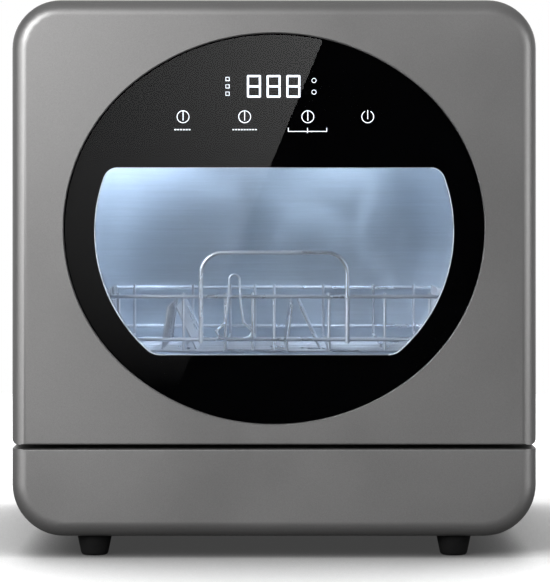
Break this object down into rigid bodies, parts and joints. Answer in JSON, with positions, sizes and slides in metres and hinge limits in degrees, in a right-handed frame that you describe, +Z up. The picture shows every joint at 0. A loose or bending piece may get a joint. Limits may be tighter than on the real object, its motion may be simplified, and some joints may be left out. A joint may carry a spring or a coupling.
{
  "type": "countertop dishwasher",
  "caption": "Countertop dishwasher with a drop-down door, oval dark glass with a window, a rolling wire rack, two spray arms and a built-in water tank filled from the top.",
  "frame": {"origin": "on the resting surface, under the middle of the body's width and depth", "axes": "+Z up, +X to the right when facing the door, front towards -Y"},
  "size_m": [0.43, 0.425, 0.457],
  "materials": {
    "paint": "satin metallic gunmetal paint",
    "dark_glass": "polished smoked glass",
    "clear_glass": "polished clear glass",
    "mask": "gloss black print behind the glass",
    "marks": "lit white symbols",
    "steel": "brushed stainless steel",
    "wire": "polished stainless wire",
    "zinc": "zinc plated",
    "black_plastic": "fine textured black plastic",
    "grey_plastic": "satin grey plastic",
    "white_plastic": "satin white plastic",
    "rear_sheet": "galvanised sheet, painted grey",
    "rubber": "matte black rubber",
    "hose": "smooth grey hose",
    "clear_hose": "milky silicone hose",
    "board": "green circuit board with parts"
  },
  "bodies": {
    "cabinet": {"base_housing": "paint", "outer_shell": "paint", "rear_panel": "rear_sheet", "front_frame": "black_plastic", "tub": "steel", "tub_seal": "rubber", "sump": "black_plastic", "heater_ring": "wire", "filter_plate": "steel", "lower_hub": "grey_plastic", "upper_hub": "grey_plastic", "wash_pump": "black_plastic", "drain_pump": "black_plastic", "water_tank": "white_plastic", "filler_neck": "black_plastic", "inlet_valve": "white_plastic", "drain_spigot": "grey_plastic", "cord_gland": "black_plastic", "supply_hose": "clear_hose", "fill_hose": "clear_hose", "drain_hose": "hose", "feed_hose": "hose", "hinge_brackets": "zinc", "latch_receiver": "black_plastic", "fan_housing": "black_plastic", "tub_lamp": "white_plastic", "rack_rails": "white_plastic", "feet": "rubber", "cabinet_screws": "zinc", "power_board": "board"},
    "door": {"door_frame": "paint", "door_glass": "dark_glass", "glass_mask": "mask", "display_digits": "marks", "touch_symbols": "marks", "display_board": "board", "door_liner": "steel", "inner_glass": "clear_glass", "inner_glass_seal": "rubber", "hinge_pins": "zinc", "latch_tongue": "white_plastic", "detergent_cup": "grey_plastic", "liner_screws": "zinc"},
    "detergent_lid": {"detergent_lid": "grey_plastic"},
    "rack": {"rack_rims": "wire", "rack_uprights": "wire", "rack_floor": "wire", "rack_tines": "wire", "rack_handle": "wire", "rack_clip": "wire", "wheel_axles": "wire"},
    "wheel_front_left": {"wheel_front_left": "white_plastic"},
    "wheel_front_right": {"wheel_front_right": "white_plastic"},
    "wheel_back_left": {"wheel_back_left": "white_plastic"},
    "wheel_back_right": {"wheel_back_right": "white_plastic"},
    "lower_arm": {"lower_spray_arm": "grey_plastic"},
    "upper_arm": {"upper_spray_arm": "grey_plastic"},
    "filter": {"filter_cup": "grey_plastic"},
    "filler_lid": {"filler_lid": "paint"},
    "fan": {"fan_impeller": "grey_plastic"}
  },
  "joints": [
    {"name": "door_open", "type": "hinge", "parent": "cabinet", "child": "door", "pos_m": [0, -0.2017, 0.1049], "axis": [1, 0, 0], "range_deg": [0, 90]},
    {"name": "rack_slide", "type": "slide", "parent": "cabinet", "child": "rack", "axis": [0, -1, 0], "range_m": [0, 0.12]},
    {"name": "wheel_front_left_spin", "type": "hinge", "parent": "rack", "child": "wheel_front_left", "pos_m": [-0.1575, -0.08, 0.1483], "axis": [1, 0, 0], "continuous": true},
    {"name": "wheel_front_right_spin", "type": "hinge", "parent": "rack", "child": "wheel_front_right", "pos_m": [0.1575, -0.08, 0.1483], "axis": [1, 0, 0], "continuous": true},
    {"name": "wheel_back_left_spin", "type": "hinge", "parent": "rack", "child": "wheel_back_left", "pos_m": [-0.1575, 0.0953, 0.1483], "axis": [1, 0, 0], "continuous": true},
    {"name": "wheel_back_right_spin", "type": "hinge", "parent": "rack", "child": "wheel_back_right", "pos_m": [0.1575, 0.0953, 0.1483], "axis": [1, 0, 0], "continuous": true},
    {"name": "lower_arm_spin", "type": "hinge", "parent": "cabinet", "child": "lower_arm", "pos_m": [0, -0.005, 0.1458], "axis": [0, 0, 1], "continuous": true},
    {"name": "upper_arm_spin", "type": "hinge", "parent": "cabinet", "child": "upper_arm", "pos_m": [0, -0.005, 0.3784], "axis": [0, 0, 1], "continuous": true},
    {"name": "detergent_lid_slide", "type": "slide", "parent": "door", "child": "detergent_lid", "axis": [-1, 0, 0], "range_m": [0, 0.056]},
    {"name": "filler_lid_open", "type": "hinge", "parent": "cabinet", "child": "filler_lid", "pos_m": [0, 0.1925, 0.4544], "axis": [-1, 0, 0], "range_deg": [0, 95]},
    {"name": "filter_twist", "type": "hinge", "parent": "cabinet", "child": "filter", "pos_m": [-0.058, 0.022, 0.11], "axis": [0, 0, 1], "range_deg": [0, 45]},
    {"name": "fan_spin", "type": "hinge", "parent": "cabinet", "child": "fan", "pos_m": [-0.13, 0.185, 0.42945], "axis": [0, 1, 0], "continuous": true}
  ],
  "couplings": [
    {"joint": "rack_slide", "follows": "door_open", "m_per_rad": 0.0763},
    {"joint": "wheel_front_left_spin", "follows": "door_open", "ratio": 6.9364},
    {"joint": "wheel_front_right_spin", "follows": "door_open", "ratio": 6.9364},
    {"joint": "wheel_back_left_spin", "follows": "door_open", "ratio": 6.9364},
    {"joint": "wheel_back_right_spin", "follows": "door_open", "ratio": 6.9364}
  ]
}
